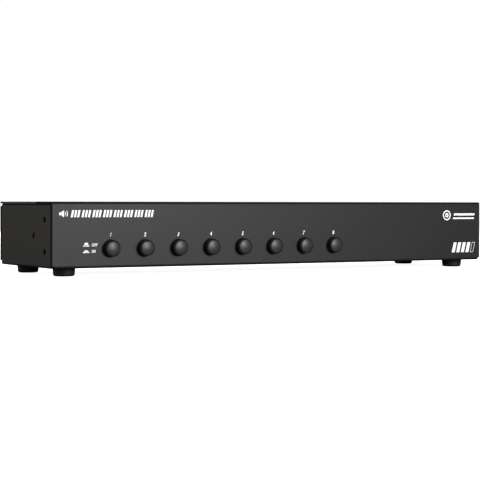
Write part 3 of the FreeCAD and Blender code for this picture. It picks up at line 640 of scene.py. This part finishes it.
class SELECTOR_OT_stage(bpy.types.Operator):
    """Camera at the photograph's view, pale floor and soft lights"""

    bl_idname = "selector.stage"
    bl_label = "Stage"

    def execute(self, context):
        studio = context.scene.studio
        self.add_camera(context, studio)
        self.add_floor(context.scene.finishes)
        self.add_lights(studio)
        self.set_surroundings(context, studio)
        return {"FINISHED"}

    def add_camera(self, context, studio):
        """Level camera, placed from the case's near top corner."""
        across = Vector((math.cos(studio.turn), -math.sin(studio.turn), 0))
        along = Vector((math.sin(studio.turn), math.cos(studio.turn), 0))
        corner = Vector((LEFT, FRONT_Y, TOP_Z - studio.drop))
        place = corner + across * studio.aside - along * studio.distance
        bpy.ops.object.camera_add(location=place, rotation=(math.pi / 2, studio.roll, -studio.turn))
        camera = context.object
        camera.name = "photo_camera"
        camera.data.lens = studio.lens
        camera.data.sensor_width = 36.0
        camera.data.shift_y = studio.shift
        camera.data.clip_start = 0.05
        camera.data.clip_end = 50.0
        context.scene.camera = camera

    def add_floor(self, colours):
        """Floor that looks bright but throws little light on the case."""
        bpy.ops.mesh.primitive_plane_add(size=FLOOR_SIZE, location=(0, 0, 0))
        floor = bpy.context.object
        floor.name = "studio_floor"
        material = bpy.data.materials.new("studio_floor")
        material.use_nodes = True
        shader = material.node_tree.nodes["Principled BSDF"]
        shader.inputs["Base Color"].default_value = (*colours.floor, 1.0)
        shader.inputs["Roughness"].default_value = 0.9
        shader.inputs["Specular IOR Level"].default_value = 0.1
        nodes, links = material.node_tree.nodes, material.node_tree.links
        glow = nodes.new("ShaderNodeEmission")
        glow.inputs["Strength"].default_value = FLOOR_GLOW
        both = nodes.new("ShaderNodeAddShader")
        links.new(shader.outputs[0], both.inputs[0])
        links.new(glow.outputs[0], both.inputs[1])
        path = nodes.new("ShaderNodeLightPath")
        dim = nodes.new("ShaderNodeBsdfDiffuse")
        dim.inputs["Color"].default_value = (FLOOR_BOUNCE, FLOOR_BOUNCE, FLOOR_BOUNCE, 1.0)
        mix = nodes.new("ShaderNodeMixShader")
        links.new(path.outputs["Is Camera Ray"], mix.inputs[0])
        links.new(dim.outputs[0], mix.inputs[1])
        links.new(both.outputs[0], mix.inputs[2])
        links.new(mix.outputs[0], nodes["Material Output"].inputs["Surface"])
        floor.data.materials.append(material)

    def add_lights(self, studio):
        """Soft area lights, all aimed at the middle of the case."""
        lights = (
            ("key_light", (0.25, -1.30, 0.32), 0.46, studio.key, (1.0, 1.0, 1.0)),
            ("top_light", (0.0, 0.1, 1.7), 1.2, 10.0, (1.0, 1.0, 1.0)),
            ("left_light", (-1.4, 0.9, 0.25), 0.7, 5.5, (1.0, 0.95, 0.85)),
            ("corner_light", (-1.0, -0.9, 0.2), 0.3, 2.0, (1.0, 1.0, 1.0)),
            ("rear_light", (0.3, 1.5, 0.7), 0.9, 18.0, (1.0, 1.0, 1.0)),
        )
        for name, place, size, power, colour in lights:
            bpy.ops.object.light_add(type="AREA", location=place)
            light = bpy.context.object
            light.name = name
            light.data.size = size
            light.data.energy = power
            light.data.color = colour
            aim = Vector((0, 0, 0.03)) - Vector(place)
            light.rotation_euler = aim.to_track_quat("-Z", "Y").to_euler()
            light.visible_camera = False

    def set_surroundings(self, context, studio):
        """Surroundings that look white and light the case dimly."""
        world = bpy.data.worlds.new("studio")
        world.use_nodes = True
        context.scene.world = world
        nodes, links = world.node_tree.nodes, world.node_tree.links
        nodes.clear()
        out = nodes.new("ShaderNodeOutputWorld")
        mix = nodes.new("ShaderNodeMixShader")
        path = nodes.new("ShaderNodeLightPath")
        links.new(path.outputs["Is Camera Ray"], mix.inputs[0])
        for slot, strength in ((1, studio.ambient), (2, 1.0)):
            glow = nodes.new("ShaderNodeBackground")
            glow.inputs["Color"].default_value = (1.0, 1.0, 1.0, 1.0)
            glow.inputs["Strength"].default_value = strength
            links.new(glow.outputs[0], mix.inputs[slot])
        links.new(mix.outputs[0], out.inputs[0])
        context.scene.view_settings.view_transform = "Standard"


class SELECTOR_OT_finishes(bpy.types.Operator):
    """Paint, plastic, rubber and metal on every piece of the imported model"""

    bl_idname = "selector.finishes"
    bl_label = "Finishes"

    def execute(self, context):
        colours = context.scene.finishes
        make_grain_group()
        make_band_group()
        make_case_paints(colours)
        make_plastics(colours)
        make_metals()
        make_board_finish()
        make_ink(colours)
        for part in frame["record"]["subparts"]:
            node = frame["nodes"][part["node"]]
            name = NODE_FINISHES.get(part["node"], part["material_slot"])
            if not node.material_slots:
                node.data.materials.append(finish(name))
            for slot in node.material_slots:
                slot.material = finish(name)
        return {"FINISHED"}


class SELECTOR_OT_button_numbers(bpy.types.Operator):
    """White number over each button"""

    bl_idname = "selector.button_numbers"
    bl_label = "Button numbers"

    def execute(self, context):
        sizes = context.scene.print_sizes
        for zone in range(1, ZONES + 1):
            low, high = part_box("button_cap_%d" % zone)
            middle = (low + high) / 2
            number = ink_text(str(zone), sizes.number_height, middle.x,
                              middle.z + sizes.number_rise)
            finish_print([number], "button_number_%d" % zone)
        return {"FINISHED"}


class SELECTOR_OT_switch_key(bpy.types.Operator):
    """Pictograms of a raised and a pressed button, with OFF and ON beside them"""

    bl_idname = "selector.switch_key"
    bl_label = "Off and on key"

    def execute(self, context):
        height = context.scene.print_sizes.word_height
        for word, width, foot, cap in (("OFF", 5.2, 17.0, 1.9), ("ON", 3.6, 12.0, 1.1)):
            z = BASE_Z + foot * MM
            top = z + KEY_BASE_H
            base = ink_block(KEY_X, KEY_X + KEY_BASE_W, z, top, top_round=KEY_BASE_ROUND)
            button = ink_block(KEY_X + KEY_CAP_INSET, KEY_X + KEY_BASE_W - KEY_CAP_INSET,
                               z + KEY_BASE_H / 2, top + cap * MM, top_round=KEY_CAP_ROUND)
            label = ink_text(word, height, KEY_X + KEY_WORD_FROM, z + height / 2, left=True,
                             width=width * MM)
            finish_print([base, button, label], "switch_key_" + word.lower())
        return {"FINISHED"}


class SELECTOR_OT_front_marks(bpy.types.Operator):
    """Plain graphic marks at the panel's upper left, upper right and lower right"""

    bl_idname = "selector.front_marks"
    bl_label = "Front marks"

    def execute(self, context):
        self.add_zone_scale(context)
        self.add_driver_mark()
        self.add_corner_bars()
        return {"FINISHED"}

    def add_zone_scale(self, context):
        """Loudspeaker pictogram, then three slanted bars for each zone."""
        height = SCALE_HIGH - SCALE_LOW
        lean = context.scene.print_sizes.slant * height
        middle = (SCALE_LOW + SCALE_HIGH) / 2
        mouth = SPEAKER_X + SPEAKER_BOX_W - LAP
        parts = [ink_block(SPEAKER_X, SPEAKER_X + SPEAKER_BOX_W,
                           middle - SPEAKER_BOX_H / 2, middle + SPEAKER_BOX_H / 2)]
        parts.append(ink_block(mouth, mouth + SPEAKER_HORN_W, SCALE_LOW, SCALE_HIGH))
        bpy.ops.object.mode_set(mode="EDIT")
        select_corners(parts[-1], lambda p: p.x < mouth + SPEAKER_HORN_W / 2)
        bpy.ops.transform.resize(value=(1, 1, SPEAKER_THROAT))
        bpy.ops.object.mode_set(mode="OBJECT")
        for radius in SPEAKER_WAVES:
            parts.append(ink_ring(SPEAKER_X + WAVES_FROM, middle, radius, SPEAKER_WAVE_LINE,
                                  arc=SPEAKER_WAVE_ARC))
        pitch = (BARS_END - BARS_START) / ZONES
        for zone in range(ZONES):
            for bar in range(BARS):
                x = BARS_START + zone * pitch + bar * BAR_STEP
                parts.append(ink_block(x, x + BAR_W, SCALE_LOW, SCALE_HIGH, slant=lean))
        finish_print(parts, "zone_scale")

    def add_driver_mark(self):
        """Rings of a loudspeaker cone beside two rules."""
        parts = [ink_ring(DRIVER_X, DRIVER_Z, CONE_R, CONE_LINE),
                 ink_ring(DRIVER_X, DRIVER_Z, DOME_R, DOME_R)]
        x = DRIVER_X + RULE_FROM
        for shift, low, high, lean in ((0, -0.2, 1.7, 0.4), (RULE_SHIFT, -3.4, -2.0, 0.3)):
            parts.append(ink_block(x - shift, x + RULE_W - shift, DRIVER_Z + low * MM,
                                   DRIVER_Z + high * MM, slant=lean * MM))
        finish_print(parts, "driver_mark")

    def add_corner_bars(self):
        """Four leaning bars and a thin outlined one."""
        parts = []
        for bar in range(CORNER_BARS):
            x = CORNER_X + bar * CORNER_STEP
            parts.append(ink_block(x, x + CORNER_BAR_W, CORNER_LOW, CORNER_HIGH,
                                   slant=CORNER_LEAN))
        for x in (OUTLINE_X, OUTLINE_X + CORNER_BAR_W - OUTLINE):
            parts.append(ink_block(x, x + OUTLINE, CORNER_LOW, CORNER_HIGH, slant=CORNER_LEAN))
        for x, z in ((OUTLINE_X, CORNER_LOW), (OUTLINE_X + CORNER_LEAN, CORNER_HIGH - OUTLINE)):
            parts.append(ink_block(x, x + CORNER_BAR_W, z, z + OUTLINE))
        finish_print(parts, "corner_bars")


class SELECTOR_OT_rear_legends(bpy.types.Operator):
    """Number over each zone's terminal, an arrow over the input, and polarity signs"""

    bl_idname = "selector.rear_legends"
    bl_label = "Rear legends"

    def execute(self, context):
        height = context.scene.print_sizes.rear_number_height
        for zone in range(1, ZONES + 1):
            low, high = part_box("speaker_terminal_%d" % zone)
            number = ink_text(str(zone), height, (low.x + high.x) / 2, high.z + LEGEND_RISE,
                              back=True)
            finish_print([number], "rear_number_%d" % zone)
        low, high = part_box("amplifier_terminal")
        self.add_input_arrow((low.x + high.x) / 2, high.z + LEGEND_RISE)
        signs = self.polarity_signs(low, high)
        for zone in range(1, ZONES + 1):
            signs += self.polarity_signs(*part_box("speaker_terminal_%d" % zone))
        finish_print(signs, "polarity_signs")
        return {"FINISHED"}

    def add_input_arrow(self, x, z):
        """Arrowhead and shaft that point down at the input terminal."""
        head = ink_block(x - ARROW_W / 2, x + ARROW_W / 2, z - ARROW_HEAD_H, z, back=True)
        bpy.ops.object.mode_set(mode="EDIT")
        select_corners(head, lambda p: p.z < z - ARROW_HEAD_H / 2)
        bpy.ops.transform.resize(value=(ARROW_TIP, 1, 1))
        bpy.ops.object.mode_set(mode="OBJECT")
        shaft = ink_block(x - SHAFT_W / 2, x + SHAFT_W / 2, z - LAP, z + SHAFT_H, back=True)
        finish_print([head, shaft], "input_arrow")

    def polarity_signs(self, low, high):
        """Alternate plus and minus over the four ways of a terminal."""
        pitch = (high.x - low.x - 2 * TERMINAL_SIDE) / TERMINAL_WAYS
        z = high.z + SIGN_RISE
        signs = []
        for way in range(TERMINAL_WAYS):
            x = low.x + TERMINAL_SIDE + (way + 0.5) * pitch
            signs.append(ink_block(x - SIGN_ARM, x + SIGN_ARM, z - SIGN_LINE, z + SIGN_LINE,
                                   back=True))
            if way % 2:
                signs.append(ink_block(x - SIGN_LINE, x + SIGN_LINE, z - SIGN_ARM, z + SIGN_ARM,
                                       back=True))
        return signs


class SELECTOR_OT_return_springs(bpy.types.Operator):
    """Coiled return spring behind each button, in the imported spring's place"""

    bl_idname = "selector.return_springs"
    bl_label = "Return springs"

    def execute(self, context):
        sizes = context.scene.spring_sizes
        for zone in range(1, ZONES + 1):
            low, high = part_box("return_spring_%d" % zone)
            spring = self.wind(low, high, sizes)
            spring.name = spring.data.name = "coiled_spring_%d" % zone
            spring.data.materials.append(finish("spring_steel"))
            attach(spring, "case")
            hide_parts("return_spring_%d" % zone)
            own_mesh(spring)
        return {"FINISHED"}

    def wind(self, low, high, sizes):
        """Screw a wire's section round the spring's axis and close both ends."""
        middle = (low + high) / 2
        radius = (high.x - low.x - sizes.wire) / 2
        pitch = (high.y - low.y - sizes.wire) / sizes.turns
        bpy.ops.object.select_all(action="DESELECT")
        bpy.ops.mesh.primitive_circle_add(
            vertices=12, radius=sizes.wire / 2, fill_type="NOTHING",
            location=(middle.x, low.y + sizes.wire / 2, middle.z))
        spring = bpy.context.object
        bpy.ops.object.mode_set(mode="EDIT")
        bpy.ops.mesh.select_all(action="SELECT")
        bpy.ops.transform.translate(value=(radius, 0, 0))
        bpy.ops.object.mode_set(mode="OBJECT")
        screw = spring.modifiers.new("coil", "SCREW")
        screw.axis = "Y"
        screw.angle = 2 * math.pi
        screw.screw_offset = pitch
        screw.iterations = sizes.turns
        screw.steps = screw.render_steps = 32
        bpy.ops.object.modifier_apply(modifier=screw.name)
        bpy.ops.object.mode_set(mode="EDIT")
        bpy.ops.mesh.select_all(action="SELECT")
        bpy.ops.mesh.remove_doubles(threshold=1e-6)
        bpy.ops.mesh.fill_holes(sides=16)
        bpy.ops.mesh.select_all(action="SELECT")
        bpy.ops.mesh.normals_make_consistent(inside=False)
        bpy.ops.object.mode_set(mode="OBJECT")
        only(spring)
        bpy.ops.object.shade_smooth_by_angle(angle=math.radians(40))
        settle(spring)
        return spring


class SELECTOR_PT_sidebar(bpy.types.Panel):
    """Sidebar panel that lists every step"""

    bl_idname = "SELECTOR_PT_sidebar"
    bl_label = "Speaker selector"
    bl_space_type = "VIEW_3D"
    bl_region_type = "UI"
    bl_category = "Selector"

    def draw(self, context):
        layout = self.layout
        for step in STEPS:
            layout.operator(step.bl_idname)
        for group in (context.scene.print_sizes, context.scene.spring_sizes,
                      context.scene.finishes, context.scene.studio):
            for name in group.__annotations__:
                layout.prop(group, name)


GROUPS = (PrintSizes, SpringSizes, Finishes, StudioSettings)
STEPS = (SELECTOR_OT_stage, SELECTOR_OT_finishes, SELECTOR_OT_button_numbers,
         SELECTOR_OT_switch_key, SELECTOR_OT_front_marks, SELECTOR_OT_rear_legends,
         SELECTOR_OT_return_springs)


def register():
    for item in (*GROUPS, *STEPS, SELECTOR_PT_sidebar):
        bpy.utils.register_class(item)
    bpy.types.Scene.print_sizes = bpy.props.PointerProperty(type=PrintSizes)
    bpy.types.Scene.spring_sizes = bpy.props.PointerProperty(type=SpringSizes)
    bpy.types.Scene.finishes = bpy.props.PointerProperty(type=Finishes)
    bpy.types.Scene.studio = bpy.props.PointerProperty(type=StudioSettings)


def unregister():
    for name in ("print_sizes", "spring_sizes", "finishes", "studio"):
        delattr(bpy.types.Scene, name)
    for item in reversed((*GROUPS, *STEPS, SELECTOR_PT_sidebar)):
        bpy.utils.unregister_class(item)


def main():
    register()
    bpy.ops.selector.stage()
    bpy.ops.selector.finishes()
    bpy.ops.selector.button_numbers()
    bpy.ops.selector.switch_key()
    bpy.ops.selector.front_marks()
    bpy.ops.selector.rear_legends()
    bpy.ops.selector.return_springs()


if __name__ == "__main__":
    main()
